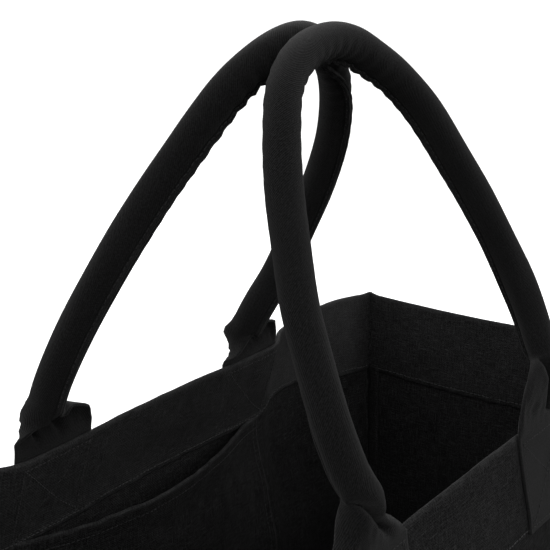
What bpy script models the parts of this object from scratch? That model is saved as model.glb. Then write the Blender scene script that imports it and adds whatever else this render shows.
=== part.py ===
# A boxy canvas tote bag standing upright, with a turned hem, an inside patch pocket
# and two rolled, padded handles that hinge at the rim.
# Metres, +Z up, X along the bag's length, +Y towards the rear panel, origin at the
# centre of the base.
import math

import bmesh
import bpy

# ---- bag body ----
BAG_W = 0.524          # length along X, outside
BAG_D = 0.214          # depth along Y, outside
BAG_H = 0.380          # height of the rim
CLOTH = 0.0011         # one layer of heavy canvas
FOLD_GAP = 0.0004      # air inside the turned hem
CLEAR = 0.0003         # gap between pieces that touch
HEM = 0.060            # depth of the turned hem
HEM_T = 2 * CLOTH + FOLD_GAP   # thickness of the wall at the hem

# ---- seam allowances ----
SEAM_W = 0.009         # width of a serged allowance
SEAM_T = 0.0022        # two layers of canvas
BASE_SEAM_Z = CLOTH + CLEAR    # underside of the allowances lying on the base

# ---- patch pocket ----
POCKET_W = 0.236
POCKET_H = 0.190
POCKET_TOP = BAG_H - HEM - 0.0015
POCKET_GAPE = 0.023    # how far the middle of the mouth stands off the rear panel
POCKET_SAG = 0.010     # how far the middle of the mouth hangs below its corners
POCKET_CELLS = (14, 10)

# ---- handles ----
TAB_W = 0.060          # width of the handle strip where it is flat
TAB_X = 0.096          # centre of each tab from the middle of the bag
TAB_RISE = 0.0026      # how far a tab stands above the rim
STRIP_T = 0.0010       # thickness of the handle strip
HINGE_RISE = 0.0030    # height of the bending line above the rim
STRIP_START = 0.0006   # distance from the bending line to the handle's lower edge
LEAN = math.radians(21.9)      # how far each handle leans inwards at rest
TUBE_R = 0.0082        # radius of the rolled strip, at its middle layer
CORE_R = 0.0066        # radius of the padded core
FIN_GAP = 0.0018       # distance between the middle layers of the two fin leaves
LEG_X = 0.104          # half width of the loop at its widest
LEG_TOP = 0.090        # where the legs end and the arch starts, along the handle
ARCH_RISE = 0.153      # height of the arch above the legs
ARCH_POWER = 2.0 / 1.8 # arch shape: 1 is an ellipse, more is more pointed
ROLL_START = 0.012     # the strip is flat up to here
ROLL_END = 0.038       # and fully rolled from here
FIN_TURN = math.radians(65.0)  # how far the fin turns to the inside of the arch
LEG_STEPS = (STRIP_START, 0.007, ROLL_START, 0.017, 0.022, 0.027, 0.032, ROLL_END,
             0.052, 0.071)
ARCH_STEPS = 22
ARC_CELLS = 12         # cells round the tube
CORE_FIRST = 7         # first station the core reaches
CORE_SIDES = 4         # bevel resolution of the core

# ---- colours, roughness ----
BLACK_CANVAS = ((0.020, 0.020, 0.021), 0.88)
HANDLE_CANVAS = ((0.024, 0.024, 0.026), 0.85)
SERGED_EDGE = ((0.030, 0.030, 0.031), 0.92)
COTTON_CORE = ((0.62, 0.60, 0.55), 0.95)

for old in list(bpy.data.objects):
    bpy.data.objects.remove(old, do_unlink=True)

tote = bpy.data.collections.new("canvas_tote")
cutters = bpy.data.collections.new("cutters")
for group in (tote, cutters):
    bpy.context.scene.collection.children.link(group)


def finish_piece(obj, look):
    """Put a piece in the tote's collection with a material of its own."""
    colour, roughness = look
    mat = bpy.data.materials.new(obj.name)
    mat.use_nodes = True
    shader = mat.node_tree.nodes["Principled BSDF"]
    shader.inputs["Base Color"].default_value = (*colour, 1.0)
    shader.inputs["Roughness"].default_value = roughness
    obj.data.materials.clear()
    obj.data.materials.append(mat)
    tote.objects.link(obj)
    return obj


def box_object(name, low, high, centre=None):
    """A box between two corners; its origin is its own centre, or the given point."""
    mid = [(a + b) / 2 for a, b in zip(low, high)]
    centre = mid if centre is None else centre
    mesh = bpy.data.meshes.new(name)
    bm = bmesh.new()
    bmesh.ops.create_cube(bm, size=1.0)
    for vert in bm.verts:
        vert.co = [vert.co[i] * (high[i] - low[i]) + mid[i] - centre[i] for i in range(3)]
    bm.to_mesh(mesh)
    bm.free()
    obj = bpy.data.objects.new(name, mesh)
    obj.location = centre
    return obj


def box_piece(name, low, high, look):
    return finish_piece(box_object(name, low, high), look)


def hemmed_wall(name, outer, bridge, inner):
    """A wall of one layer whose top edge is folded inwards: three joined boxes."""
    wall = box_piece(name, *outer, BLACK_CANVAS)
    for label, corners in (("bridge", bridge), ("turn", inner)):
        block = box_object(f"{name}_{label}", *corners)
        block.hide_render = True
        block.display_type = "WIRE"
        cutters.objects.link(block)
        joint = wall.modifiers.new(label, "BOOLEAN")
        joint.operation = "UNION"
        joint.solver = "EXACT"
        joint.object = block
    return wall


def mirrored(low, high, axis):
    """The same box on the other side of the middle plane of an axis."""
    low, high = list(low), list(high)
    low[axis], high[axis] = -high[axis], -low[axis]
    return low, high


half_w, half_d = BAG_W / 2, BAG_D / 2
wall_foot = CLOTH + CLEAR
turn_foot = BAG_H - HEM

# Front and rear panels run the full length; the gussets fit between them.
panel_turn_x = half_w - HEM_T - CLEAR
panel_boxes = (
    ((-half_w, half_d - CLOTH, wall_foot), (half_w, half_d, BAG_H)),
    ((-panel_turn_x, half_d - HEM_T, BAG_H - CLOTH), (panel_turn_x, half_d - CLOTH / 2, BAG_H)),
    ((-panel_turn_x, half_d - HEM_T, turn_foot), (panel_turn_x, half_d - HEM_T + CLOTH, BAG_H)),
)
gusset_y = half_d - CLOTH - CLEAR
gusset_boxes = (
    ((half_w - CLOTH, -gusset_y, wall_foot), (half_w, gusset_y, BAG_H)),
    ((half_w - HEM_T, -gusset_y, BAG_H - CLOTH), (half_w - CLOTH / 2, gusset_y, BAG_H)),
    ((half_w - HEM_T, -gusset_y, turn_foot), (half_w - HEM_T + CLOTH, gusset_y, BAG_H)),
)
hemmed_wall("rear_panel", *panel_boxes)
hemmed_wall("front_panel", *[mirrored(*b, 1) for b in panel_boxes])
hemmed_wall("right_gusset", *gusset_boxes)
hemmed_wall("left_gusset", *[mirrored(*b, 0) for b in gusset_boxes])
box_piece("base_panel", (-half_w, -half_d, 0), (half_w, half_d, CLOTH), BLACK_CANVAS)

# Serged seam allowances: upright in the four corners, flat along the base's four sides.
upright = ((half_w - CLOTH - CLEAR - SEAM_T, half_d - CLOTH - CLEAR - SEAM_W,
            BASE_SEAM_Z + SEAM_T + CLEAR),
           (half_w - CLOTH - CLEAR, half_d - CLOTH - CLEAR, turn_foot - CLEAR))
rear_left = mirrored(*upright, 0)
for name, corners in (("seam_rear_right", upright), ("seam_rear_left", rear_left),
                      ("seam_front_right", mirrored(*upright, 1)),
                      ("seam_front_left", mirrored(*rear_left, 1))):
    box_piece(name, *corners, SERGED_EDGE)

along = ((-half_w + CLOTH + CLEAR, half_d - CLOTH - CLEAR - SEAM_W, BASE_SEAM_Z),
         (half_w - CLOTH - CLEAR, half_d - CLOTH - CLEAR, BASE_SEAM_Z + SEAM_T))
across_y = half_d - CLOTH - 2 * CLEAR - SEAM_W
across = ((half_w - CLOTH - CLEAR - SEAM_W, -across_y, BASE_SEAM_Z),
          (half_w - CLOTH - CLEAR, across_y, BASE_SEAM_Z + SEAM_T))
for name, corners in (("base_seam_rear", along), ("base_seam_front", mirrored(*along, 1)),
                      ("base_seam_right", across), ("base_seam_left", mirrored(*across, 0))):
    box_piece(name, *corners, SERGED_EDGE)


def sheet_object(name, cells, place, thickness):
    """A grid bent by place(u, v), u and v from 0 to 1, thickened about its middle."""
    mesh = bpy.data.meshes.new(name)
    bm = bmesh.new()
    bmesh.ops.create_grid(bm, x_segments=cells[0], y_segments=cells[1], size=1.0)
    for vert in bm.verts:
        vert.co = place((vert.co.x + 1) / 2, (vert.co.y + 1) / 2)
    bmesh.ops.recalc_face_normals(bm, faces=bm.faces)
    bm.to_mesh(mesh)
    bm.free()
    obj = bpy.data.objects.new(name, mesh)
    solid = obj.modifiers.new("cloth", "SOLIDIFY")
    solid.thickness = thickness
    solid.offset = 0.0
    solid.use_even_offset = True
    return obj


def pocket_point(u, v):
    across_u = 2 * u - 1
    arch = math.cos(across_u * math.pi / 2) ** 1.2 if abs(across_u) < 1 else 0.0
    lift = v ** 1.6
    return (across_u * POCKET_W / 2,
            -POCKET_GAPE * arch * lift,
            (v - 1) * POCKET_H - POCKET_SAG * arch * lift)


pocket = sheet_object("pocket", POCKET_CELLS, pocket_point, CLOTH)
pocket.location = (0, half_d - CLOTH * 1.5 - CLEAR, POCKET_TOP)
finish_piece(pocket, BLACK_CANVAS)

# Tabs: the flat ends of the two handle strips, sewn to the outside of the panels.
tab = ((TAB_X - TAB_W / 2, half_d + CLEAR, turn_foot),
       (TAB_X + TAB_W / 2, half_d + CLEAR + STRIP_T, BAG_H + TAB_RISE))
tab_left = mirrored(*tab, 0)
for name, corners in (("rear_tab_right", tab), ("rear_tab_left", tab_left),
                      ("front_tab_right", mirrored(*tab, 1)),
                      ("front_tab_left", mirrored(*tab_left, 1))):
    box_piece(name, *corners, HANDLE_CANVAS)


def ease(t):
    t = min(max(t, 0.0), 1.0)
    return t * t * (3 - 2 * t)


def handle_path():
    """Stations (x, w) along a handle; w is measured up the handle from the hinge."""
    leg = [(TAB_X + (LEG_X - TAB_X) * ease(w / LEG_TOP), w) for w in LEG_STEPS]
    arch = []
    for i in range(ARCH_STEPS + 1):
        turn = math.pi * i / ARCH_STEPS
        side, rise = math.cos(turn), math.sin(turn)
        arch.append((-math.copysign(abs(side) ** ARCH_POWER, side) * LEG_X,
                     LEG_TOP + ARCH_RISE * max(rise, 0.0) ** ARCH_POWER))
    return [(-x, w) for x, w in leg] + arch + leg[::-1]


stations = handle_path()
last = len(stations) - 1


def station_frame(i):
    """Direction of travel and the in-plane direction to the inside of the loop."""
    (x0, w0), (x1, w1) = stations[max(i - 1, 0)], stations[min(i + 1, last)]
    if i in (0, last):
        return (0.0, 1.0 if i == 0 else -1.0), (1.0 if i == 0 else -1.0, 0.0)
    size = math.hypot(x1 - x0, w1 - w0)
    along_x, along_w = (x1 - x0) / size, (w1 - w0) / size
    return (along_x, along_w), (along_w, -along_x)


fin_leaf = TAB_W / 2 - math.pi * TUBE_R
arc_half = TAB_W / 2 - fin_leaf
full_roll = math.pi - FIN_GAP / (2 * TUBE_R)
columns = [-TAB_W / 2] + [arc_half * (2 * k / ARC_CELLS - 1) for k in range(ARC_CELLS + 1)]
columns.append(TAB_W / 2)


def section_point(u, roll):
    """Point of the strip's middle layer: (towards the inside of the loop, outwards)."""
    angle = full_roll * roll
    reach = min(abs(u), arc_half)
    if angle < 1e-4:
        side, depth = reach, 0.0
    else:
        radius = arc_half / angle
        side = radius * math.sin(reach / radius)
        depth = radius * (math.cos(reach / radius) - 1)
    if abs(u) > arc_half:
        heading = -angle + roll ** 3 * (math.pi / 2 - (math.pi - full_roll))
        side += fin_leaf * math.cos(heading)
        depth += fin_leaf * math.sin(heading)
    return math.copysign(side, u), depth


def strip_point(u, v):
    i = round(v * last)
    x, w = stations[i]
    _, inward = station_frame(i)
    roll = ease((w - ROLL_START) / (ROLL_END - ROLL_START))
    side, depth = section_point(columns[round(u * (len(columns) - 1))], roll)
    turn = FIN_TURN * ease((w - ROLL_END) / (LEG_TOP + ARCH_RISE - ROLL_END))
    depth += TUBE_R
    side, depth = (side * math.cos(turn) - depth * math.sin(turn),
                   side * math.sin(turn) + depth * math.cos(turn))
    depth -= TUBE_R + STRIP_T / 2
    return x + inward[0] * side, depth, w + inward[1] * side


def core_curve(name):
    curve = bpy.data.curves.new(name, "CURVE")
    curve.dimensions = "3D"
    curve.bevel_depth = CORE_R
    curve.bevel_resolution = CORE_SIDES
    curve.use_fill_caps = True
    path = stations[CORE_FIRST:last - CORE_FIRST + 1]
    spline = curve.splines.new("POLY")
    spline.points.add(len(path) - 1)
    for point, (x, w) in zip(spline.points, path):
        point.co = (x, -TUBE_R - STRIP_T / 2, w, 1.0)
    holder = bpy.data.objects.new(name, curve)
    mesh = bpy.data.meshes.new_from_object(holder)
    bpy.data.objects.remove(holder, do_unlink=True)
    bm = bmesh.new()
    bm.from_mesh(mesh)
    bmesh.ops.remove_doubles(bm, verts=bm.verts, dist=1e-5)
    bmesh.ops.recalc_face_normals(bm, faces=bm.faces)
    bm.to_mesh(mesh)
    bm.free()
    return bpy.data.objects.new(name, mesh)


hinge_y = half_d + CLEAR + STRIP_T
for side_name, sign, spin in (("rear", 1, 0.0), ("front", -1, math.pi)):
    cover = sheet_object(f"{side_name}_handle_cover", (len(columns) - 1, last),
                         strip_point, STRIP_T)
    core = core_curve(f"{side_name}_handle_core")
    finish_piece(cover, HANDLE_CANVAS)
    finish_piece(core, COTTON_CORE)
    for piece in (cover, core):
        piece.location = (0, sign * hinge_y, BAG_H + HINGE_RISE)
        piece.rotation_euler = (LEAN, 0.0, spin)
        piece.data.shade_smooth()
        piece.data.set_sharp_from_angle(angle=math.radians(40))
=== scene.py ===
"""A black canvas tote bag with rolled handles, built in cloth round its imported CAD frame."""
import math
from functools import partial

import bpy
import numpy as np
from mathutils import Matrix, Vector


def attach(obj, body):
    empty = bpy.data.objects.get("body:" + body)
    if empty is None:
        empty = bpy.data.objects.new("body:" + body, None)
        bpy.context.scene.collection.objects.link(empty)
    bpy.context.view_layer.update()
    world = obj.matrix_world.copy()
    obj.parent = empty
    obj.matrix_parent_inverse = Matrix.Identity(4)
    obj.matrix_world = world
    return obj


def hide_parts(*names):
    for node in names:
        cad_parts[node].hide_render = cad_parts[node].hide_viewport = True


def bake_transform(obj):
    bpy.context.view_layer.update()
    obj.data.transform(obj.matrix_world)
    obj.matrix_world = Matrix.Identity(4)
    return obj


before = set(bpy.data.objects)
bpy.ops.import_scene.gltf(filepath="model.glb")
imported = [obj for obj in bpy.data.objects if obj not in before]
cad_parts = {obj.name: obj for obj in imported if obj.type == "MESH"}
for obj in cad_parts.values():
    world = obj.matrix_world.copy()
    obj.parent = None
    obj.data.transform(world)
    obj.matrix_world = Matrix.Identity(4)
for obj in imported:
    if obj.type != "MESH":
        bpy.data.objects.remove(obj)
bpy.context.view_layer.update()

# ---- sizes, metres ----
H = 0.380              # rim height
HALF_W = 0.262         # corner seams, along X
FOOT_Y = 0.1065        # panels at the base
CLOTH = 0.0011         # thickness of the canvas
HEM = 0.0600           # depth of the turned hem
HEM_STITCH = 0.0575    # stitch line of the hem, below the rim
HEM_OFF = 0.0018       # distance of the turned layer from the outer one
FOLD_R = HEM_OFF / 2
GRID = 0.0026          # spacing of a wall's columns
CORNER_R = 0.0025      # rounding of the corner seams
CORNER_DIVE = 0.0025   # how far the cloth runs into a corner seam
TAB_AT = {"rear": (-0.0930, 0.0958), "front": (-0.0990, 0.0935)}   # middle of each tab, along X
TAB_W = 0.060
STRIP_T = 0.0016
TUBE_R = 0.0085
CORE_R = 0.0070        # the soft cord inside a tube
TOP_Y = 0.0096         # tube centres at the top of the arches, from the bag's middle
ARCH_H = 0.209         # height over which the handles lean in to there
STITCH_LENGTH = 0.0026
STITCH_R = 0.00030
STITCH_PITCH = 0.0034


# ---------------------------------------------------------------- noise and curves
def smooth(t):
    t = np.clip(t, 0.0, 1.0)
    return t * t * (3 - 2 * t)


TABLES = {}


def noise(a, b, seed):
    """Smooth value noise, about -1 to 1, with lattice cells one unit wide."""
    a, b = np.broadcast_arrays(np.asarray(a, float), np.asarray(b, float))
    if seed not in TABLES:
        TABLES[seed] = np.random.RandomState(seed).uniform(-1, 1, (64, 64))
    table = TABLES[seed]
    ia, ib = np.floor(a).astype(int), np.floor(b).astype(int)
    fa, fb = smooth(a - ia), smooth(b - ib)
    ia, ib, ja, jb = ia % 64, ib % 64, (ia + 1) % 64, (ib + 1) % 64
    low = table[ia, ib] * (1 - fa) + table[ja, ib] * fa
    high = table[ia, jb] * (1 - fa) + table[ja, jb] * fa
    return low * (1 - fb) + high * fb


def through(points, t):
    """Values of a smooth monotone-ish curve through (x, y) points, at t."""
    xs, ys = (np.array(c, float) for c in zip(*points))
    slope = np.gradient(ys, xs)
    t = np.clip(np.asarray(t, float), xs[0], xs[-1])
    i = np.clip(np.searchsorted(xs, t, side="right") - 1, 0, len(xs) - 2)
    d = xs[i + 1] - xs[i]
    k = (t - xs[i]) / d
    return ((2 * k**3 - 3 * k**2 + 1) * ys[i] + (k**3 - 2 * k**2 + k) * d * slope[i]
            + (3 * k**2 - 2 * k**3) * ys[i + 1] + (k**3 - k**2) * d * slope[i + 1])


# ---------------------------------------------------------------- materials
def material(name, base, rough=0.9, sheen=0.01, weave=0.00085, twill=False,
             bump=0.35, fleck=1.0, painted_light=1.0, specular=0.03):
    """Black canvas: woven relief, slubs and uneven dye, with painted light from a per-point attribute: paler
    edges as painted highlights, and painted light and shade on the hems.
    """
    mat = bpy.data.materials.new(name)
    mat.use_nodes = True
    tree = mat.node_tree
    shader = tree.nodes["Principled BSDF"]
    shader.inputs["Roughness"].default_value = rough
    shader.inputs["Sheen Weight"].default_value = sheen
    shader.inputs["Sheen Roughness"].default_value = 0.55
    shader.inputs["Specular IOR Level"].default_value = specular

    def node(kind, **values):
        made = tree.nodes.new(kind)
        for key, value in values.items():
            setattr(made, key, value)
        return made

    def math_node(operation, first, second=None):
        made = node("ShaderNodeMath", operation=operation)
        for socket, value in zip(made.inputs, (first, second)):
            if value is None:
                continue
            if isinstance(value, (int, float)):
                socket.default_value = value
            else:
                tree.links.new(value, socket)
        return made.outputs[0]

    uv = node("ShaderNodeUVMap", uv_map="UVMap").outputs[0]
    split = node("ShaderNodeSeparateXYZ")
    tree.links.new(uv, split.inputs[0])
    u, v = split.outputs[0], split.outputs[1]

    def noise_node(scale_u, scale_v, detail, rough_=0.5):
        size = node("ShaderNodeVectorMath", operation="MULTIPLY")
        size.inputs[1].default_value = (scale_u, scale_v, 1.0)
        tree.links.new(uv, size.inputs[0])
        tex = node("ShaderNodeTexNoise", noise_dimensions="2D")
        tex.inputs["Scale"].default_value = 1.0
        tex.inputs["Detail"].default_value = detail
        tex.inputs["Roughness"].default_value = rough_
        tree.links.new(size.outputs[0], tex.inputs["Vector"])
        return tex.outputs[0]

    turn = math.pi / weave
    wobble = math_node("MULTIPLY", noise_node(240, 240, 2), 2.2)
    if twill:
        diagonal = math_node("MULTIPLY", math_node("ADD", u, v), turn * 1.3)
        warp = math_node("SINE", math_node("ADD", diagonal, wobble))
        weft = math_node("SINE", math_node("MULTIPLY", math_node("SUBTRACT", u, v), turn * 2.1))
        relief = math_node("ADD", math_node("MULTIPLY", warp, 0.75), math_node("MULTIPLY", weft, 0.25))
    else:
        warp = math_node("SINE", math_node("ADD", math_node("MULTIPLY", u, turn), wobble))
        weft = math_node("SINE", math_node("ADD", math_node("MULTIPLY", v, turn), wobble))
        relief = math_node("MULTIPLY", warp, weft)
    slub_u = noise_node(110, 1400, 2)
    slub_v = noise_node(1400, 110, 2)
    slub = math_node("MULTIPLY", math_node("MAXIMUM", slub_u, slub_v), 0.4 if twill else 1.0)
    height = math_node("ADD", math_node("MULTIPLY", relief, 0.5), math_node("MULTIPLY", slub, 1.1))
    grain = math_node("ADD", height, math_node("MULTIPLY", noise_node(500, 500, 3, 0.7), 0.9))
    bump_node = node("ShaderNodeBump")
    bump_node.inputs["Strength"].default_value = bump
    bump_node.inputs["Distance"].default_value = 0.0006
    tree.links.new(grain, bump_node.inputs["Height"])
    tree.links.new(bump_node.outputs[0], shader.inputs["Normal"])

    # Colour: base, lightened by slubs and broad uneven dye, and by painted light from a per-point attribute:
    # painted highlights on the edges, lighter hems, and painted shade beside the corners.
    flecks = math_node("POWER", math_node("MULTIPLY", slub, 1.45), 6.0)
    cloudy = math_node("SUBTRACT", noise_node(14, 14, 4, 0.6), 0.5)
    fine = math_node("SUBTRACT", noise_node(900, 900, 2, 0.8), 0.5)
    gain = math_node("ADD", 1.0, math_node("MULTIPLY", cloudy, 0.9))
    gain = math_node("ADD", gain, math_node("MULTIPLY", relief, 0.55 if twill else 0.30))
    gain = math_node("ADD", gain, math_node("MULTIPLY", fine, 4.2))
    streak = math_node("SUBTRACT", math_node("ADD", slub_u, slub_v), 1.0)
    gain = math_node("ADD", gain, math_node("MULTIPLY", streak, 0.35 if twill else 1.5))
    gain = math_node("ADD", gain, math_node("MULTIPLY", flecks, 0.55 * fleck))
    edge = node("ShaderNodeAttribute", attribute_name="painted_light").outputs["Fac"]
    gain = math_node("ADD", gain, math_node("MULTIPLY", edge, 1.1 * painted_light))
    gain = math_node("MAXIMUM", gain, 0.15)
    tint = node("ShaderNodeVectorMath", operation="SCALE")
    tint.inputs[0].default_value = base
    tree.links.new(gain, tint.inputs["Scale"])
    tree.links.new(tint.outputs[0], shader.inputs["Base Color"])
    return mat


CANVAS = (0.0085, 0.0085, 0.0086)
canvas = material("canvas", CANVAS)
strip_canvas = material("strip_canvas", (0.0050, 0.0050, 0.0051), twill=True, bump=0.45,
                        sheen=0.045, specular=0.06)
serged = material("serged_edge", (0.0080, 0.0080, 0.0081), bump=0.7, fleck=0.3)
thread = material("thread", (0.0140, 0.0140, 0.0142), rough=0.6, weave=0.0004, bump=0.25,
                  fleck=0.0, sheen=0.1)
hem_thread = material("hem_thread", (0.0300, 0.0300, 0.0305), rough=0.6, weave=0.0004, bump=0.25,
                      fleck=0.0, sheen=0.1)
cotton = material("cotton_core", (0.42, 0.40, 0.36), weave=0.002, twill=True, painted_light=0.0)


# ---------------------------------------------------------------- mesh helpers
def grid_object(name, points, uv, painted_light, mat, thickness):
    """A sheet from an array of points (rows, columns, 3), thickened about its middle."""
    rows, cols = points.shape[:2]
    index = np.arange(rows * cols).reshape(rows, cols)
    a, b = index[:-1, :-1].ravel(), index[1:, :-1].ravel()
    c, d = index[1:, 1:].ravel(), index[:-1, 1:].ravel()
    faces = np.stack([a, b, c, d], 1)
    mesh = bpy.data.meshes.new(name)
    mesh.from_pydata(points.reshape(-1, 3), [], faces.tolist())
    layer = mesh.uv_layers.new(name="UVMap")
    loops = np.zeros(len(mesh.loops), int)
    mesh.loops.foreach_get("vertex_index", loops)
    layer.data.foreach_set("uv", uv.reshape(-1, 2)[loops].ravel())
    mark = mesh.attributes.new("painted_light", "FLOAT", "POINT")
    mark.data.foreach_set("value", painted_light.ravel().astype(np.float32))
    mesh.materials.append(mat)
    mesh.shade_smooth()
    obj = bpy.data.objects.new(name, mesh)
    bpy.context.scene.collection.objects.link(obj)
    solid = obj.modifiers.new("cloth", "SOLIDIFY")
    solid.thickness, solid.offset = thickness, 0.0
    with bpy.context.temp_override(object=obj, active_object=obj, selected_objects=[obj]):
        bpy.ops.object.modifier_apply(modifier=solid.name)
    return obj


def capsule(sides=6):
    """Vertices and faces of a unit capsule along X, radius 1 and length 2."""
    rings = [(-1.0, 0.0), (-0.92, 0.55), (-0.6, 0.95), (0.0, 1.0), (0.6, 0.95), (0.92, 0.55), (1.0, 0.0)]
    verts, faces = [(-1.0, 0.0, 0.0)], []
    for x, r in rings[1:-1]:
        for k in range(sides):
            angle = 2 * math.pi * k / sides
            verts.append((x, r * math.cos(angle), r * math.sin(angle)))
    verts.append((1.0, 0.0, 0.0))
    end = len(verts) - 1
    for k in range(sides):
        n = (k + 1) % sides
        faces.append((0, 1 + n, 1 + k))
        for ring in range(len(rings) - 3):
            a, b = 1 + ring * sides, 1 + (ring + 1) * sides
            faces.append((a + k, a + n, b + n, b + k))
        last = 1 + (len(rings) - 3) * sides
        faces.append((last + k, last + n, end))
    return np.array(verts), faces


CAPSULE = capsule()


def stitches_object(name, stitches, mat):
    """One mesh of separate stitches: each is (centre, direction, normal, length, radius)."""
    shape, faces = CAPSULE
    verts, all_faces = [], []
    for centre, along, normal, length, radius in stitches:
        along = np.array(along, float)
        along /= np.linalg.norm(along)
        normal = np.array(normal, float) - along * np.dot(normal, along)
        normal /= np.linalg.norm(normal)
        side = np.cross(normal, along)
        # The ends dip into the cloth.
        dip = -0.55 * radius * np.abs(shape[:, 0]) ** 2
        co = (np.array(centre) + np.outer(shape[:, 0] * length / 2, along)
              + np.outer(shape[:, 1] * radius, side)
              + np.outer(shape[:, 2] * radius * 0.9 + dip, normal))
        start = len(verts) * len(shape)
        verts.append(co)
        all_faces += [tuple(start + k for k in f) for f in faces]
    mesh = bpy.data.meshes.new(name)
    mesh.from_pydata(np.concatenate(verts).tolist(), [], all_faces)
    mesh.uv_layers.new(name="UVMap")
    mesh.materials.append(mat)
    mesh.shade_smooth()
    obj = bpy.data.objects.new(name, mesh)
    bpy.context.scene.collection.objects.link(obj)
    return obj


def along_line(surface, points, lift, jitter_seed, pitch=STITCH_PITCH,
               length=STITCH_LENGTH, radius=STITCH_R):
    """Stitches along a line on a surface: surface(a, b) gives points and their normals."""
    points = np.array(points, float)
    co, normals = surface(points[:, 0], points[:, 1])
    steps = np.linalg.norm(np.diff(co, axis=0), axis=1)
    run = np.concatenate([[0], np.cumsum(steps)])
    rng = np.random.RandomState(jitter_seed)
    out = []
    for at in np.arange(pitch / 2, run[-1], pitch):
        at = at + rng.uniform(-0.05, 0.05) * pitch
        mid = np.array([np.interp(at, run, co[:, k]) for k in range(3)])
        normal = np.array([np.interp(at, run, normals[:, k]) for k in range(3)])
        ahead = np.array([np.interp(at + pitch / 3, run, co[:, k]) for k in range(3)])
        behind = np.array([np.interp(at - pitch / 3, run, co[:, k]) for k in range(3)])
        normal /= np.linalg.norm(normal)
        side = np.cross(normal, ahead - behind)
        side /= np.linalg.norm(side) + 1e-12
        out.append((mid + normal * lift + side * rng.uniform(-0.00012, 0.00012),
                    ahead - behind + side * rng.uniform(-0.0003, 0.0003), normal,
                    length * rng.uniform(0.92, 1.05), radius))
    return out


# ---------------------------------------------------------------- the walls
REAR_RIM = [(-0.262, 0.1115), (-0.240, 0.1165), (-0.205, 0.1190), (-0.165, 0.1165), (-0.142, 0.1130),
            (-0.129, 0.1072), (-0.096, 0.1066), (0.0, 0.1072), (0.096, 0.1066), (0.126, 0.1072),
            (0.139, 0.1150), (0.165, 0.1175), (0.205, 0.1200), (0.240, 0.1165), (0.262, 0.1120)]
FRONT_RIM = [(-0.262, 0.1095), (-0.235, 0.1110), (-0.200, 0.1105), (-0.150, 0.1062), (-0.129, 0.1030),
             (-0.096, 0.1024), (0.0, 0.1026), (0.096, 0.1026), (0.129, 0.1034), (0.150, 0.1080),
             (0.200, 0.1120), (0.235, 0.1110), (0.262, 0.1095)]
REAR_RISE = [(-0.262, 0.0), (-0.22, 0.0030), (-0.17, 0.0030), (-0.135, 0.0), (0.0, 0.0), (0.128, 0.0),
             (0.142, 0.0015), (0.18, 0.0035), (0.22, 0.0035), (0.25, 0.0010), (0.262, 0.0)]
FALL = [(0.0, 0.0), (0.03, 0.5), (0.052, 0.90), (0.060, 0.98), (0.068, 0.97), (0.085, 0.70), (0.11, 0.25),
        (0.15, -0.26), (0.20, -0.34), (0.28, -0.16), (0.38, 0.0)]
GATHER = [(0.0, 0.0), (0.06, 1.0), (0.15, 0.8), (0.38, 0.0)]
HEM_LIFT = 0.0032      # the leaning wall's hem ends this much higher than at the corners
REAR_BULGE = 0.0162
FRONT_BULGE = 0.0110
REAR_MOST = 0.1228     # the rear wall stays within this distance of the bag's middle
TAB_ROOM = 0.0018      # and this much closer below the tabs
KNEE = 0.0040          # it flattens over this distance


def wall_wave(a, s, seed):
    """Soft unevenness of a wall: broad buckles, small wrinkles, puckers by the hem stitches."""
    calm = smooth(s / 0.02) * 0.8 + 0.2
    hem_calm = 1 - 0.55 * smooth((0.066 - s) / 0.01)
    broad = (0.0017 * noise(a / 0.085, s / 0.110 + 7, seed)
             + 0.0008 * noise(a / 0.035 + s / 0.05, s / 0.045, seed + 1))
    small = (0.00028 * noise(a / 0.013, s / 0.016, seed + 2)
             + 0.00012 * noise(a / 0.006, s / 0.006, seed + 3))
    pucker = (0.00032 * noise(a / 0.0065, 0.5, seed + 4)
              * np.exp(-((s - HEM_STITCH) / 0.006) ** 2))
    return broad * calm * hem_calm * smooth((H - s) / 0.03) + small + pucker


def panel_base(which, x, s):
    """Middle of a panel's outer layer: x along the bag, s below the rim."""
    x, s = np.broadcast_arrays(np.asarray(x, float), np.asarray(s, float))
    if which == "rear":
        rim, bulge, rise = through(REAR_RIM, x), REAR_BULGE, through(REAR_RISE, x)
    else:
        rim, bulge, rise = through(FRONT_RIM, x), FRONT_BULGE, through(REAR_RISE, -x) * 0.7
    inside = 1 - smooth((np.abs(x) - 0.155) / 0.085)
    y = rim + (FOOT_Y - rim) * smooth((s - 0.02) / 0.30) + bulge * inside * through(FALL, s)
    gather = inside * HEM_LIFT * through(GATHER, s)
    corner = smooth((np.abs(x) - 0.252) / 0.01)
    wave = wall_wave(x, s, 11 if which == "rear" else 31)
    y = y + wave * (1 - corner)
    uneven = rise + 0.0012 * corner - 0.0006 * noise(x / 0.05, 3.3, 5)
    z = H - s + gather + uneven * (1 - smooth(s / 0.25))
    if which == "rear":           # the bulge flattens out, and what it loses lifts the cloth a little
        most = REAR_MOST - TAB_ROOM * (1 - smooth((np.abs(x) - 0.128) / 0.012))
        over = y - (most - KNEE)
        less = np.where(over > 0, over - KNEE * np.tanh(over / KNEE), 0)
        y = y - less
        z = z + 0.85 * less
    sign = 1 if which == "rear" else -1
    return np.stack([x, sign * y, z], -1)


def corner_y(which, s):
    """Where a panel meets the gussets."""
    rim = REAR_RIM[-1][1] if which == "rear" else FRONT_RIM[-1][1]
    return rim + (FOOT_Y - rim) * smooth((np.asarray(s, float) - 0.02) / 0.30)


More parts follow.
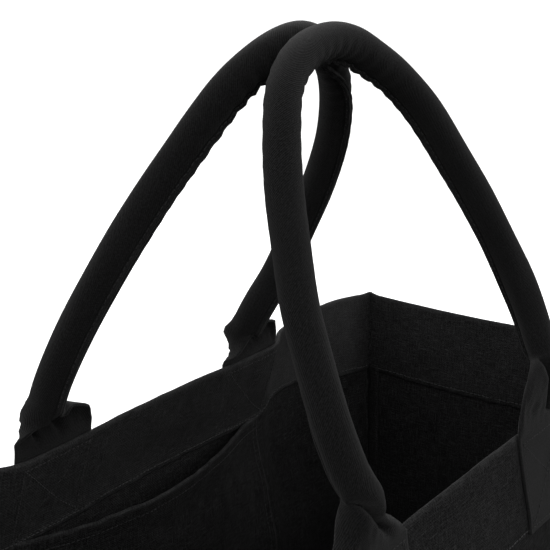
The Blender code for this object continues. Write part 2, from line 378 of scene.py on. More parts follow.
def gusset_base(which, t, s):
    """Middle of a gusset's outer layer: t from -1 (front corner) to 1 (rear corner)."""
    t, s = np.broadcast_arrays(np.asarray(t, float), np.asarray(s, float))
    back, front = corner_y("rear", s), -corner_y("front", s)
    y = front + (back - front) * (t + 1) / 2
    middle = 1 - t**2
    sink = 0.0030 * middle * smooth(s / 0.06) * smooth((H - s) / 0.1)
    x = HALF_W + 0.0016 * middle * np.cos(s * 14) - sink
    x = x + wall_wave(t * 0.11, s, 51 if which == "right" else 71) * smooth((1 - np.abs(t)) / 0.12)
    z = H - s + (-0.0042 * middle + 0.0012 * smooth((np.abs(t) - 0.93) / 0.07)) * (1 - smooth(s / 0.25))
    sign = 1 if which == "right" else -1
    return np.stack([sign * x, y, z], -1)


def normals_of(base, a, s, step):
    """Unit normals pointing out of the bag, by small differences."""
    du = base(a + step, s) - base(a - step, s)
    dv = base(a, s + 0.001) - base(a, s - 0.001)
    n = np.cross(du, dv)
    n /= np.linalg.norm(n, axis=-1, keepdims=True) + 1e-12
    return n


def outward(n, base_points):
    """Turns normals so that they point away from the bag's middle."""
    centre = base_points * np.array([1.0, 1.0, 0.0])
    flip = np.sign(np.sum(n * centre, axis=-1, keepdims=True))
    return n * flip


def hem_rows():
    """Rows of a wall's cloth, from the foot up, over the fold and down inside: (s, offset, length)."""
    rows = [(s, 0.0) for s in np.concatenate([np.linspace(H, 0.17, 36, endpoint=False),
                                              np.linspace(0.17, 0.0, 62)])]
    for angle in np.linspace(0, math.pi, 8)[1:]:
        rows.append((-FOLD_R * math.sin(angle), FOLD_R * (1 - math.cos(angle))))
    rows += [(s, HEM_OFF) for s in np.linspace(0, HEM, 26)[1:]]
    rows += [(HEM + 0.0006, HEM_OFF - 0.0003), (HEM + 0.0007, HEM_OFF - 0.0008),
             (HEM - 0.0005, HEM_OFF - 0.0011)]
    rows = np.array(rows)
    run = np.concatenate([[0], np.cumsum(np.linalg.norm(np.diff(rows, axis=0), axis=1))])
    return rows[:, 0], rows[:, 1], run


def wall_object(name, base, half, across, seed):
    """One wall: a grid whose side edges round the corner and dive into the seam."""
    s, off, run = hem_rows()
    flat = np.linspace(-1, 1, int(2 * half / GRID) | 1)
    turn = np.linspace(0, 1, 6)[1:]
    a = np.concatenate([-1 - turn[::-1], flat, 1 + turn])
    columns = np.clip(a, -1, 1)
    over = np.clip(np.abs(a) - 1, 0, 1)
    A, S = np.meshgrid(columns * half if across else columns, s)
    OVER, OFF = np.meshgrid(over, off)
    A = A * (1 - CORNER_R / half)
    metres = 1 if across else half          # a gusset's columns run from -1 to 1
    base_points = base(A, S)
    step = 0.0008 / metres
    n = outward(normals_of(base, A, S, step), base_points)
    puff = 0.0004 * noise(A * metres / 0.012, S / 0.02, seed) * (OFF > 0) * smooth(S / 0.01)
    points = base_points - n * (OFF + puff)[..., None]
    # Rounded corner, then the dive: only the outer layer needs it.
    side = np.sign(A)[..., None] * (np.array([1.0, 0, 0]) if across else np.array([0, 1.0, 0]))
    angle = OVER * math.radians(50)
    around = CORNER_R * np.sin(angle)
    inward = CORNER_R * (1 - np.cos(angle))
    deep = np.clip((OVER - 0.55) / 0.45, 0, 1) * CORNER_DIVE
    reach = around + deep * 0.3
    inward = inward + deep * 0.8
    inner = smooth(OFF / HEM_OFF)
    reach = reach * (1 - inner) + inner * np.minimum(OVER * 3, 1) * (CORNER_R - 0.0012)
    inward = inward * (1 - inner)
    points = points + side * reach[..., None] - n * inward[..., None]
    uv = np.stack([A * metres + seed, np.broadcast_to(run[:, None], A.shape)], -1)
    # Painted highlights: paler along the fold of the rim and the hem's lower edge, and paler round the
    # corners, unevenly.
    hem_end = np.exp(-((S - HEM - 0.0003) / 0.0012) ** 2) * (OFF > 0)
    painted_light = 0.9 * np.exp(-(S / 0.0012) ** 2) + 0.35 * hem_end
    painted_light = painted_light + 0.35 * np.exp(-(OVER - 0.4) ** 2 / 0.1) * (OVER > 0)
    painted_light = painted_light * (0.65 + 0.5 * noise(A * metres / 0.01, 1.0, seed + 9))
    # Painted light: the turned hem inside the bag is lightened to stand in for light falling on it.
    hem = OFF > 0.5 * HEM_OFF
    painted_light = painted_light + (0.42 if across else 0.25) * hem
    if name == "rear_wall":       # painted light: a lighter patch painted on the hem beside the right-hand corner, a pool of light
        painted_light = painted_light + 0.75 * hem * smooth((A - 0.125) / 0.015) * (1 - smooth((A - 0.235) / 0.02))
    # Painted shade: the hem is darkened close to each corner seam.
    from_corner = 1 - np.abs(A) * metres / half
    beside = np.clip(1 - np.minimum(from_corner, 0.05) / 0.02, 0, 1)
    painted_light = painted_light - 0.8 * hem * beside
    return grid_object(name, points, uv, painted_light, canvas, CLOTH)


rear = partial(panel_base, "rear")
front = partial(panel_base, "front")
right = partial(gusset_base, "right")
left = partial(gusset_base, "left")
HALF_D = (REAR_RIM[-1][1] + FRONT_RIM[-1][1]) / 2
WALL_NODES = {"rear": "rear_panel", "front": "front_panel", "right": "right_gusset", "left": "left_gusset"}

for which, base, half, across, seed in (("rear", rear, HALF_W, True, 3), ("front", front, HALF_W, True, 4),
                                        ("right", right, HALF_D, False, 5), ("left", left, HALF_D, False, 6)):
    wall = wall_object(f"{which}_wall", base, half, across, seed)
    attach(wall, "bag")
    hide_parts(WALL_NODES[which])


def on_wall(base, depth, across=True):
    """A surface function for stitches: depth below the middle of the outer layer, inwards."""
    def place(a, s):
        p = base(a, s)
        n = outward(normals_of(base, a, s, 0.0008 if across else 0.008), p)
        return p - n * depth, n if depth <= 0 else -n
    return place


# ---------------------------------------------------------------- base panel
def base_point(x, y):
    inner = smooth((1 - np.abs(x) / HALF_W) / 0.04) * smooth((1 - np.abs(y) / FOOT_Y) / 0.08)
    z = 0.0006 + 0.00048 * inner + 0.00015 * (1 + noise(x / 0.04, y / 0.04, 91))
    return np.stack([x, y, z], -1)


base_x, base_y = HALF_W - 0.001, FOOT_Y - 0.0008
xs, ys = np.meshgrid(np.linspace(-base_x, base_x, 90), np.linspace(-base_y, base_y, 40))
base_sheet = grid_object("base_cloth", base_point(xs, ys), np.stack([xs, ys], -1), np.zeros_like(xs),
                         canvas, CLOTH)
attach(base_sheet, "bag")
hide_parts("base_panel")

# ---------------------------------------------------------------- patch pocket
POCKET_HALF = 0.118
POCKET_TOP_S = 0.0585
POCKET_H = 0.190
GAPE = [(-1.0, 0.0), (-0.93, 0.12), (-0.75, 0.42), (-0.5, 0.76), (-0.25, 0.95), (0.0, 1.0), (0.3, 0.84),
        (0.6, 0.50), (0.85, 0.14), (1.0, 0.0)]
POCKET_GAPE = 0.027
POCKET_SAG = 0.0035


def pocket_point(u, v):
    """u from -1 to 1 across, v from 0 at the foot to 1 at the mouth."""
    u, v = np.broadcast_arrays(np.asarray(u, float), np.asarray(v, float))
    x = u * POCKET_HALF
    open_ = through(GAPE, u)
    s = POCKET_TOP_S + (1 - v) * POCKET_H + POCKET_SAG * open_ * np.clip(v, 0, 1.05) ** 2
    wall = rear(x, s)
    n = outward(normals_of(rear, x, s, 0.0008), wall)
    lift = 0.0017 + POCKET_GAPE * open_ * np.clip(v, 0, 1.1) ** 2.6
    edge = smooth((1 - np.abs(u)) / 0.06)
    fold = 0.0011 * noise(u * 4.5 + 2 * v, v * 5.0, 131) + 0.0005 * noise(u * 14 - 3 * v, v * 10, 132)
    side = 0.0007 * noise(v * 26, 0.3, 133) * np.exp(-((np.abs(u) - 0.95) / 0.05) ** 2)
    lift = lift + edge * fold * smooth(v / 0.1) + side
    return wall - n * np.maximum(lift, 0.0012)[..., None]


def on_pocket(u, v):
    """Points of the pocket and unit normals facing into the bag."""
    p = pocket_point(u, v)
    n = np.cross(pocket_point(u + 0.004, v) - pocket_point(u - 0.004, v), pocket_point(u, v + 0.004) - p)
    return p, n / (np.linalg.norm(n, axis=-1, keepdims=True) + 1e-12)


def pocket_rows():
    """Rows of the pocket's cloth: up the face, over the mouth and down its own hem."""
    face = [(v, 0.0) for v in np.linspace(0, 1, 74)]
    turn = [(1 + 0.0042 * math.sin(a), 0.0007 * (1 - math.cos(a))) for a in np.linspace(0, math.pi, 6)[1:]]
    back = [(1 - k * 0.012 / POCKET_H, 0.0014) for k in np.linspace(0, 1, 7)[1:]]
    return np.array(face + turn + back)


rows = pocket_rows()
u_cols = np.linspace(-1, 1, 93)
U, V = np.meshgrid(u_cols, rows[:, 0])
OFF = np.broadcast_to(rows[:, 1][:, None], U.shape)
pts, facing = on_pocket(U, V)
pts = pts - facing * OFF[..., None]
run = np.concatenate([[0], np.cumsum(np.abs(np.diff(rows[:, 0])) * POCKET_H)])
uv = np.stack([U * POCKET_HALF, np.broadcast_to(run[:, None], U.shape)], -1)
# Painted highlights: a pale line along the pocket's mouth, and paler side edges.
painted_light = 0.9 * np.exp(-((V - 1) / 0.008) ** 2) + 0.4 * np.exp(-((np.abs(U) - 1) / 0.012) ** 2)
pocket = grid_object("pocket_cloth", pts, uv, painted_light, canvas, 0.0010)
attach(pocket, "bag")
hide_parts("pocket")


# ---------------------------------------------------------------- handles
# Middle of each tube, above the rim: x and height.
REAR_TUBE = [(-0.1058, 0.023), (-0.1064, 0.031), (-0.1074, 0.045), (-0.1062, 0.062), (-0.1005, 0.090),
             (-0.0905, 0.1205), (-0.0790, 0.146), (-0.0685, 0.1650), (-0.0555, 0.1875), (-0.0385, 0.2070),
             (-0.0195, 0.2190), (0.0050, 0.2245), (0.0290, 0.2190), (0.0535, 0.2045), (0.0745, 0.1830),
             (0.0905, 0.1540), (0.0965, 0.1290), (0.0980, 0.1070), (0.0970, 0.0840), (0.0940, 0.0575),
             (0.0880, 0.0419), (0.0850, 0.030), (0.0850, 0.019)]
FRONT_TUBE = [(-0.1000, 0.026), (-0.1030, 0.0405), (-0.1040, 0.056), (-0.1015, 0.080), (-0.0955, 0.115),
              (-0.0875, 0.1380), (-0.0770, 0.1625), (-0.0635, 0.1865), (-0.0480, 0.2055), (-0.0270, 0.2185),
              (-0.0080, 0.2235), (0.0110, 0.2243), (0.0280, 0.2205), (0.0420, 0.2130), (0.0580, 0.2030),
              (0.0740, 0.1865), (0.0930, 0.1510), (0.1075, 0.1140), (0.1172, 0.0750), (0.1180, 0.056),
              (0.1170, 0.0432), (0.1155, 0.030)]
LUG_STEPS = (-0.0590, -0.045, -0.030, -0.015, 0.0, 0.006, 0.012)
# How each lug's left and right edges roll over, left lug then right lug: from and to which
# height, and how late in between.
ROLLS = {"rear": (((0.010, 0.036, 0.9), (0.003, 0.038, 0.6)),
                  ((-0.001, 0.025, 1.0), (0.003, 0.030, 0.7))),
         "front": (((-0.004, 0.026, 0.6), (0.000, 0.036, 0.45)),
                   ((-0.001, 0.040, 0.6), (0.000, 0.040, 0.5)))}


def spline(points, spacing):
    """Points at even spacing along a smooth curve through the given ones."""
    p = np.array(points, float)
    chord = np.concatenate([[0], np.cumsum(np.linalg.norm(np.diff(p, axis=0), axis=1))])
    fine = np.linspace(0, chord[-1], 4000)
    curve = np.stack([through(list(zip(chord, p[:, k])), fine) for k in range(p.shape[1])], 1)
    for _ in range(60):
        curve[1:-1] = 0.5 * curve[1:-1] + 0.25 * (curve[:-2] + curve[2:])
    run = np.concatenate([[0], np.cumsum(np.linalg.norm(np.diff(curve, axis=0), axis=1))])
    count = int(run[-1] / spacing)
    at = np.linspace(0, run[-1], count)
    return np.stack([np.interp(at, run, curve[:, k]) for k in range(p.shape[1])], 1), at


class Handle:
    """One handle strip: flat tabs on the outside of a panel, rolled to a tube between them."""

    def __init__(self, which):
        self.which = which
        self.sign = 1 if which == "rear" else -1
        self.base = rear if which == "rear" else front
        tube = REAR_TUBE if which == "rear" else FRONT_TUBE
        rim_y = 0.1070 if which == "rear" else 0.1028
        lean = math.atan2(rim_y - TOP_Y, ARCH_H)
        normal = np.array([0, math.cos(lean), math.sin(lean)])
        outer = []
        for x, z in tube:
            y = rim_y - (z - 0.016) * math.tan(lean)
            outer.append(np.array([x, y, z]) + TUBE_R * normal)
        self.lug_x = TAB_AT[which]
        ends = []
        for k, x_end in enumerate(self.lug_x):
            first = outer[0] if k == 0 else outer[-1]
            column = []
            for z in LUG_STEPS:
                x = x_end + (first[0] - x_end) * float(smooth((z - 0.002) / (first[2] - 0.002)))
                if z <= 0:
                    p = self.base(np.array([[x]]), np.array([[-z]]))[0, 0]
                    y = abs(p[1]) + self.tab_gap()
                    column.append(np.array([x, y, p[2] - H]))
                else:
                    rim = abs(self.base(np.array([[x]]), np.array([[0.0]]))[0, 0][1]) + self.tab_gap()
                    blend = smooth(z / first[2])
                    column.append(np.array([x, rim * (1 - blend) + blend * first[1], z]))
            ends.append(column)
        path = ends[0] + outer + ends[1][::-1]
        self.path, self.run = spline(path, 0.0030)
        self.tangent = np.gradient(self.path, axis=0)
        self.tangent /= np.linalg.norm(self.tangent, axis=1, keepdims=True)
        height = self.path[:, 2]
        tilt = lean * smooth((height - 0.006) / 0.036)
        n = np.stack([0 * tilt, np.cos(tilt), np.sin(tilt)], 1)
        below = height < 0
        slope = np.gradient(self.path[:, 1]) / np.gradient(self.path[:, 2])
        wall_tilt = np.arctan(-slope)
        n[below, 1], n[below, 2] = np.cos(wall_tilt[below]), np.sin(wall_tilt[below])
        n -= self.tangent * np.sum(n * self.tangent, axis=1, keepdims=True)
        self.normal = n / np.linalg.norm(n, axis=1, keepdims=True)
        self.side = np.cross(self.tangent, self.normal)
        self.level = np.zeros_like(self.side)
        self.level[:, 0] = np.sign(self.side[:, 0])
        self.height = height
        first_half = np.arange(len(self.path)) < len(self.path) / 2
        self.offset = np.where(first_half, *self.lug_x) - self.path[:, 0]
        plane = np.where(first_half, ends[0][4][1], ends[1][4][1]) - 0.11 * height
        self.offset_y = np.where(height > 0, plane - self.path[:, 1], 0)
        self.roll = []
        for edge_first, edge_last in ((1, 0), (0, 1)):
            first_roll, last_roll = ROLLS[which][0][edge_first], ROLLS[which][1][edge_last]
            start, end, late = (np.where(first_half, a, b) for a, b in zip(first_roll, last_roll))
            t = np.clip((height - start) / (end - start), 0, 1) ** late
            self.roll.append(0.8 * t + 0.2 * smooth(t))
        if which == "rear":
            arch = (1 - smooth((np.abs(self.path[:, 0]) - 0.030) / 0.045)) * (height > 0.1)
        else:
            arch = smooth((height - 0.055) / 0.060)
        self.twist = -math.radians(48) * arch

    @staticmethod
    def tab_gap():
        return CLOTH / 2 + STRIP_T / 2 + 0.0003

    def section(self, u, roll):
        """Cross-section of the strip's middle layer: (sideways, outwards from its back).

        The edges curl first; at roll 1 the whole width is a tube with both edges side by side."""
        flat = TAB_W / 2 * (1 - roll)
        curled = np.maximum(np.abs(u) - flat, 0)
        arc_half = math.pi * TUBE_R - 0.0002
        angle = math.pi - (STRIP_T + 0.0001) / (2 * TUBE_R)
        reach = np.minimum(curled, arc_half)
        radius = arc_half / angle
        across = np.minimum(np.abs(u), flat) + radius * np.sin(reach / radius)
        depth = radius * (np.cos(reach / radius) - 1) - np.maximum(curled - arc_half, 0)
        return np.sign(u) * across, depth

    def points(self, u, index):
        """Points of the strip: u across it (metres), index along the path (may be fractional)."""
        u, index = np.broadcast_arrays(np.asarray(u, float), np.asarray(index, float))
        grid = np.arange(len(self.path))
        origin, n, b, level = (np.stack([np.interp(index, grid, rows[:, k]) for k in range(3)], -1)
                               for rows in (self.path, self.normal, self.side, self.level))
        roll = np.where(u < 0, np.interp(index, grid, self.roll[0]), np.interp(index, grid, self.roll[1]))
        twist = np.interp(index, grid, self.twist)
        run = np.interp(index, grid, self.run)
        across, depth = self.section(u, roll)
        height = np.interp(index, grid, self.height)
        # Uneven padding, and wrinkles across the inside of the bend at the top.
        theta = u / TUBE_R
        swell = 0.00035 * noise(run / 0.03, theta * 1.2 + 9, 211 + self.sign) * roll
        x_here = np.interp(index, grid, self.path[:, 0])
        bend = np.exp(-((x_here) / 0.055) ** 2) * (height > 0.12)
        inner_side = smooth((np.abs(theta) - 0.7) / 1.6)
        wrinkle = (0.0009 * np.sin(run / 0.0105 * 2 * math.pi + 2.0 * noise(run / 0.02, 0.5, 215))
                   * bend * inner_side)
        grow = 1 + (swell + wrinkle) / TUBE_R
        gathered = (self.sign < 0) & (x_here > 0)      # this lug is gathered more than it is curled
        depth = depth * (1 - 2.6 * roll * (1 - roll) * gathered)
        across = across * (1 - 3.2 * np.maximum(roll - 0.45, 0) * (1 - roll) * ~gathered)
        depth_c = (depth + TUBE_R) * grow
        across_c = across * grow
        # The fin turns to the inside of the loop: all along the front handle, at the rear one's top.
        turned_a = across_c * np.cos(twist) - depth_c * np.sin(twist)
        turned_d = across_c * np.sin(twist) + depth_c * np.cos(twist)
        local = (origin + b * (turned_a * roll)[..., None] + level * (turned_a * (1 - roll))[..., None]
                 + n * (turned_d - TUBE_R)[..., None])
        # The flat part keeps its place below the tube, wherever the tube leads.
        keep = smooth(np.abs(u) / 0.024) * (1 - roll) * (height < 0.06)
        local[..., 0] += keep * np.interp(index, grid, self.offset)
        local[..., 1] += keep * np.interp(index, grid, self.offset_y)
        # Between flat and round the strip is crumpled.
        both = 0.5 * (np.interp(index, grid, self.roll[0]) + np.interp(index, grid, self.roll[1]))
        loose = np.clip(4 * both * (1 - both), 0, 1) * smooth(height / 0.004)
        crumple = (0.0012 * noise(u / 0.0065, run / 0.014, 231)
                   + 0.0006 * noise(u / 0.003 + run / 0.01, run / 0.006, 232)) * loose
        left_u = u * np.sign(level[..., 0])
        if self.sign < 0:         # the front lugs: the left edge tucks in, and a deep slanting crease
            tuck = smooth((left_u + 0.0285) / 0.005) * (1 - smooth((left_u + 0.015) / 0.006))
            early = smooth(4 * both) * (1 - smooth((both - 0.35) / 0.35)) * smooth((height - 0.003) / 0.006)
            crumple = crumple - np.where(x_here < 0, 0.0035, 0.0025) * tuck * early
            cut = left_u - (0.0185 - 0.93 * height)
            reach = smooth((0.038 - height) / 0.012) * smooth((height - 0.001) / 0.008)
            crumple = crumple - 0.0090 * np.exp(-(cut / 0.0038) ** 2) * reach
        else:                     # the rear lugs: a hood over the mouth, and two folds in it
            hood = np.exp(-((left_u + 0.012) / 0.010) ** 2) * smooth((height - 0.002) / 0.008)
            hood = hood * (1 - smooth((height - 0.020) / 0.012))
            crumple = crumple + np.where(x_here > 0, 0.0020, 0.0015) * hood
            pocketed = smooth((height - 0.004) / 0.008) * (1 - smooth((height - 0.020) / 0.010))
            for place in (-0.011, 0.008):
                across_fold = left_u - place - 0.25 * (height - 0.014)
                crumple = crumple + 0.0040 * np.exp(-(across_fold / 0.0024) ** 2) * pocketed
        local = local + n * crumple[..., None]
        flat = 1 - smooth(height / 0.004)
        wave = 0.00025 * noise(u / 0.012, run / 0.012, 221) * flat
        local = local + n * wave[..., None]
        local[..., 1] *= self.sign
        local[..., 2] += H
        return local

    def build(self):
        cols = np.concatenate([np.linspace(-TAB_W / 2, -0.0262, 5), np.linspace(-0.0250, 0.0250, 37),
                               np.linspace(0.0262, TAB_W / 2, 5)])
        rows = np.arange(len(self.path))
        U, I = np.meshgrid(cols, rows)
        pts = self.points(U, I)
        uv = np.stack([U, np.broadcast_to(self.run[:, None], U.shape)], -1)
        # Painted highlights along the strip's long edges and at its two ends.
        edge = np.exp(-((np.abs(U) - TAB_W / 2) / 0.0011) ** 2)
        painted_light = edge * (0.8 + 0.5 * noise(self.run[:, None] / 0.008 + 0 * U, 0.5, 230))
        for end in (self.run[0], self.run[-1]):
            painted_light = painted_light + 0.8 * np.exp(-((self.run[:, None] - end) / 0.0012) ** 2)
        obj = grid_object(f"{self.which}_strip", pts, uv, painted_light, strip_canvas, STRIP_T)
        if self.sign < 0:
            obj.data.flip_normals()
        return obj

    def on(self, u, i):
        """Points of the strip and unit normals there, of either sign."""
        p = self.points(u, i)
        du = self.points(u + 0.0004, i) - self.points(u - 0.0004, i)
        di = self.points(u, i + 0.3) - self.points(u, i - 0.3)
        n = np.cross(di, du)
        return p, n / (np.linalg.norm(n, axis=-1, keepdims=True) + 1e-12)


handles = {}
for which in ("rear", "front"):
    handle = Handle(which)
    handles[which] = handle
    strip = handle.build()
    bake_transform(strip)
    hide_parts(f"{which}_handle_cover", f"{which}_tab_left", f"{which}_tab_right")

    # Core: a soft cord inside the tube.
    inside = np.where(handle.height > 0.046)[0]
    angles = np.linspace(0, 2 * math.pi, 13)
    centre = handle.path[inside] - handle.normal[inside] * TUBE_R
    ring = CORE_R * (np.cos(angles)[None, :, None] * handle.normal[inside][:, None, :]
                     + np.sin(angles)[None, :, None] * handle.side[inside][:, None, :])
    pts = centre[:, None, :] + ring
    caps = [np.broadcast_to(end, pts[:1].shape) for end in (centre[0], centre[-1])]
    pts = np.concatenate([caps[0], pts, caps[1]])
    pts[..., 1] *= handle.sign
    pts[..., 2] += H
    rows = len(pts)
    index = np.arange(rows * 12).reshape(rows, 12)
    faces = [(index[i, k], index[i, (k + 1) % 12], index[i + 1, (k + 1) % 12], index[i + 1, k])
             for i in range(rows - 1) for k in range(12)]
    mesh = bpy.data.meshes.new(f"{which}_core")
    mesh.from_pydata(pts[:, :12].reshape(-1, 3).tolist(), [], [tuple(int(k) for k in f) for f in faces])
    mesh.uv_layers.new(name="UVMap")
    mesh.materials.append(cotton)
    mesh.shade_smooth()
    core = bpy.data.objects.new(f"{which}_core", mesh)
    bpy.context.scene.collection.objects.link(core)
    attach(core, f"{which}_handle")
    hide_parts(f"{which}_handle_core")

# ---------------------------------------------------------------- seam allowances
def seam_strip(name, side, which, node):
    """A serged edge lying against a gusset beside a corner, below the hem."""
    s = np.linspace(HEM - 0.004, H - 0.006, 110)
    sign_t = 1 if which == "rear" else -1
    base = right if side == "right" else left
    widths = np.linspace(0.0015, 0.0100, 6)
    t0 = 1 - widths / HALF_D
    T, S = np.meshgrid(sign_t * t0, s)
    p = base(T, S)
    n = outward(normals_of(base, T, S, 0.01), p)
    profile = np.array([0.0010, 0.0022, 0.0025, 0.0024, 0.0021, 0.0014])
    ripple = 0.0006 * noise(S / 0.010, T * 0, 301 + len(name)) * (widths / 0.01)[None, :]
    pts = p - n * (profile[None, :] + ripple + CLOTH / 2)[..., None]
    uv = np.stack([T * HALF_D, S], -1)
    # Painted highlight along the serged strip's far edge.
    painted_light = 0.5 * np.exp(-((widths - 0.0100) / 0.0015) ** 2)[None, :] + 0 * S
    strip = grid_object(name, pts, uv, painted_light, serged, 0.0015)
    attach(strip, "bag")
    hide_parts(node)
    at = np.arange(HEM + 0.001, H - 0.008, 0.0021)
    edges = []
    for w, shift, lift in ((0.0045, 0.0, 0.0033), (0.0105, 0.0010, 0.0026)):
        t = np.full_like(at, sign_t * (1 - w / HALF_D))
        q = base(t, at + shift)
        m = outward(normals_of(base, t, at + shift, 0.01), q)
        edges.append((q - m * lift, m))
    loops = []
    for a, m, b in zip(edges[0][0], edges[0][1], edges[1][0]):
        loops.append(((a + b) / 2, b - a, -m, float(np.linalg.norm(b - a)), 0.00032))
        loops.append((a, (0, 0, 1), -m, 0.0024, 0.00028))
    made = stitches_object(name + "_thread", loops, thread)
    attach(made, "bag")
    return strip


for side in ("right", "left"):
    for which in ("rear", "front"):
        seam_strip(f"serged_{which}_{side}", side, which, f"seam_{which}_{side}")

# Base seams: the CAD strips are already this shape, so they are only repainted.
for node in ("base_seam_rear", "base_seam_front", "base_seam_left", "base_seam_right"):
    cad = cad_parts[node]
    cad.data.materials.clear()
    cad.data.materials.append(serged)

# ---------------------------------------------------------------- stitching
face = CLOTH / 2
line = np.linspace(-HALF_W + 0.003, HALF_W - 0.003, 400)
tline = np.linspace(-0.975, 0.975, 160)
hems = {
    "rear": (on_wall(rear, -face), on_wall(rear, HEM_OFF + face), line),
    "front": (on_wall(front, -face), on_wall(front, HEM_OFF + face), line),
    "right": (on_wall(right, -face, False), on_wall(right, HEM_OFF + face, False), tline),
    "left": (on_wall(left, -face, False), on_wall(left, HEM_OFF + face, False), tline),
}
for name, (outer, inner, cuts) in hems.items():
    for label, surface, seed in (("out", outer, 401), ("in", inner, 402)):
        path = [(a, HEM_STITCH + 0.0004 * float(noise(a / 0.02, 0.2, 403))) for a in cuts]
        stitches = along_line(surface, path, 0.00020, seed)
        made = stitches_object(f"{name}_hem_stitches_{label}", stitches, hem_thread)
        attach(made, "bag")

# Tabs: a stitched box with a cross, seen outside on the tab and inside on the hem.
BOX_IN = 0.0035
for which, handle in handles.items():
    outside, inside = [], []
    panel = rear if which == "rear" else front
    for side in (-1, 1):
        middle = TAB_AT[which][side > 0]
        x0, x1 = middle - TAB_W / 2 + BOX_IN, middle + TAB_W / 2 - BOX_IN
        s0, s1 = 0.0040, HEM_STITCH - 0.0015
        corners = [(x0, s0), (x1, s0), (x1, s1), (x0, s1), (x0, s0)]
        runs = [np.linspace(corners[k], corners[k + 1], 30) for k in range(4)]
        runs += [np.linspace((x0, s0), (x1, s1), 40), np.linspace((x1, s0), (x0, s1), 40)]
        for k, run in enumerate(runs):
            inside += along_line(on_wall(panel, HEM_OFF + face), run, 0.00012, 500 + k)
            outside += along_line(on_wall(panel, -(face + STRIP_T + 0.0003)), run, 0.00010, 520 + k)
    for label, group in (("out", outside), ("in", inside)):
        made = stitches_object(f"{which}_tab_stitches_{label}", group, thread)
        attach(made, "bag")

    # The fin's seam runs along both of its faces.
    fin_rows = []
    start, end = np.where(handle.height > 0.040)[0][[0, -1]]
    at = np.arange(start, end, 0.7)
    for u in (TAB_W / 2 - 0.0018, -TAB_W / 2 + 0.0018):
        def fin(i, zero, u=u):
            p, n = handle.on(u + zero, i)
            away = p - handle.points(-u + zero, i)
            return p, n * np.sign(np.sum(n * away, axis=-1, keepdims=True))
        fin_rows += along_line(fin, np.stack([at, 0 * at], 1), STRIP_T / 2 + 0.0001, 540)
    made = stitches_object(f"{which}_fin_stitches", fin_rows, thread)
    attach(made, f"{which}_handle")

# Pocket: one row along its hem, two rows down each side and along the foot.
POCKET_LIFT = 0.0006
hem_line = [(u, 1 - 0.0085 / POCKET_H) for u in np.linspace(-0.99, 0.99, 200)]
group = along_line(on_pocket, hem_line, POCKET_LIFT, 560)
for inset in (0.016, 0.058):
    for side in (-1, 1):
        side_line = [(side * (1 - inset), v) for v in np.linspace(0.99, 0.01, 120)]
        group += along_line(on_pocket, side_line, POCKET_LIFT, 561)
    foot_line = [(u, inset * POCKET_HALF / POCKET_H) for u in np.linspace(-0.98, 0.98, 160)]
    group += along_line(on_pocket, foot_line, POCKET_LIFT, 562)
pocket_stitches = stitches_object("pocket_stitches", group, thread)
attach(pocket_stitches, "bag")

# ---------------------------------------------------------------- stage, light, camera
floor_mesh = bpy.data.meshes.new("floor")
FLOOR_Z = -0.0005
floor_mesh.from_pydata([(x, y, FLOOR_Z) for x, y in ((-60, -60), (60, -60), (60, 60), (-60, 60))], [],
                       [(0, 1, 2, 3)])
floor = bpy.data.objects.new("floor", floor_mesh)
bpy.context.scene.collection.objects.link(floor)
pale = bpy.data.materials.new("pale_floor")
pale.use_nodes = True
shader = pale.node_tree.nodes["Principled BSDF"]
shader.inputs["Base Color"].default_value = (0.93, 0.93, 0.93, 1)
shader.inputs["Roughness"].default_value = 0.9
floor_mesh.materials.append(pale)

# A white wall far behind everything, all the way round.
BACKDROP_R, BACKDROP_H, SIDES = 30, 40, 48
ring = [(BACKDROP_R * math.cos(a), BACKDROP_R * math.sin(a))
        for a in np.linspace(0, 2 * math.pi, SIDES + 1)[:-1]]
wall_mesh = bpy.data.meshes.new("backdrop")
wall_mesh.from_pydata([(x, y, z) for z in (FLOOR_Z, BACKDROP_H) for x, y in ring], [],
                      [(k, (k + 1) % SIDES, SIDES + (k + 1) % SIDES, SIDES + k) for k in range(SIDES)])
backdrop = bpy.data.objects.new("backdrop", wall_mesh)
bpy.context.scene.collection.objects.link(backdrop)
white = bpy.data.materials.new("white_backdrop")
white.use_nodes = True
shader = white.node_tree.nodes["Principled BSDF"]
shader.inputs["Base Color"].default_value = (0, 0, 0, 1)
shader.inputs["Specular IOR Level"].default_value = 0.0
shader.inputs["Emission Color"].default_value = (1, 1, 1, 1)
shader.inputs["Emission Strength"].default_value = 1.0
wall_mesh.materials.append(white)
for piece in (floor, backdrop):     # cut-outs: they don't light the bag
    piece.visible_diffuse = False
    piece.visible_glossy = False
backdrop.visible_shadow = False

SKY_LOW, SKY_HIGH, BELOW = 2.5, 0.85, 0.06     # brightness at the horizon, overhead and below
world = bpy.data.worlds.new("studio")
bpy.context.scene.world = world
world.use_nodes = True
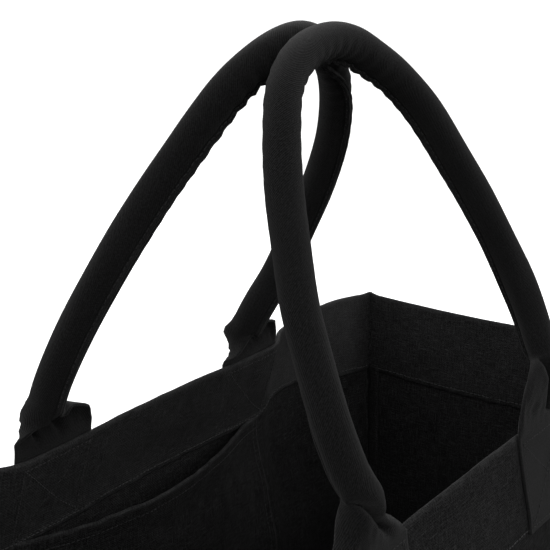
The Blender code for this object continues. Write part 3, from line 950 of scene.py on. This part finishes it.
# A pale room, brighter towards the horizon than overhead.
tree = world.node_tree
direction = tree.nodes.new("ShaderNodeTexCoord")
parts = tree.nodes.new("ShaderNodeSeparateXYZ")
tree.links.new(direction.outputs["Generated"], parts.inputs[0])
fade = tree.nodes.new("ShaderNodeMapRange")
fade.inputs["From Min"].default_value, fade.inputs["From Max"].default_value = 0.0, 1.0
fade.inputs["To Min"].default_value, fade.inputs["To Max"].default_value = SKY_LOW, SKY_HIGH
tree.links.new(parts.outputs["Z"], fade.inputs["Value"])
rise = tree.nodes.new("ShaderNodeMapRange")
rise.inputs["From Min"].default_value, rise.inputs["From Max"].default_value = -0.02, 0.28
rise.inputs["To Min"].default_value, rise.inputs["To Max"].default_value = BELOW, 1.0
tree.links.new(parts.outputs["Z"], rise.inputs["Value"])
level = tree.nodes.new("ShaderNodeMath")
level.operation = "MULTIPLY"
tree.links.new(fade.outputs["Result"], level.inputs[0])
tree.links.new(rise.outputs["Result"], level.inputs[1])
background = tree.nodes["Background"]
background.inputs["Color"].default_value = (1, 1, 1, 1)
tree.links.new(level.outputs[0], background.inputs["Strength"])


def soft_light(name, place, target, size, power):
    light = bpy.data.lights.new(name, "AREA")
    light.shape, light.size, light.energy = "SQUARE", size, power
    obj = bpy.data.objects.new(name, light)
    obj.location = place
    obj.rotation_euler = (Vector(target) - Vector(place)).to_track_quat("-Z", "Y").to_euler()
    bpy.context.scene.collection.objects.link(obj)


soft_light("rim", (1.6, 1.0, 1.8), (0, 0, 0.45), 1.4, 30)

CAM_AZ, CAM_PITCH, CAM_F = math.radians(34.7), math.radians(15.9), 1284.0
camera = bpy.data.cameras.new("camera")
camera.sensor_width = 36.0
camera.lens = 36.0 * CAM_F / 550.0
camera_obj = bpy.data.objects.new("camera", camera)
camera_obj.location = (-0.5727, -0.3755, 0.6704)
look = Vector((math.cos(CAM_AZ) * math.cos(CAM_PITCH),
               math.sin(CAM_AZ) * math.cos(CAM_PITCH),
               -math.sin(CAM_PITCH)))
camera_obj.rotation_euler = look.to_track_quat("-Z", "Y").to_euler()
bpy.context.scene.collection.objects.link(camera_obj)
bpy.context.scene.camera = camera_obj
bpy.context.scene.view_settings.view_transform = "Standard"
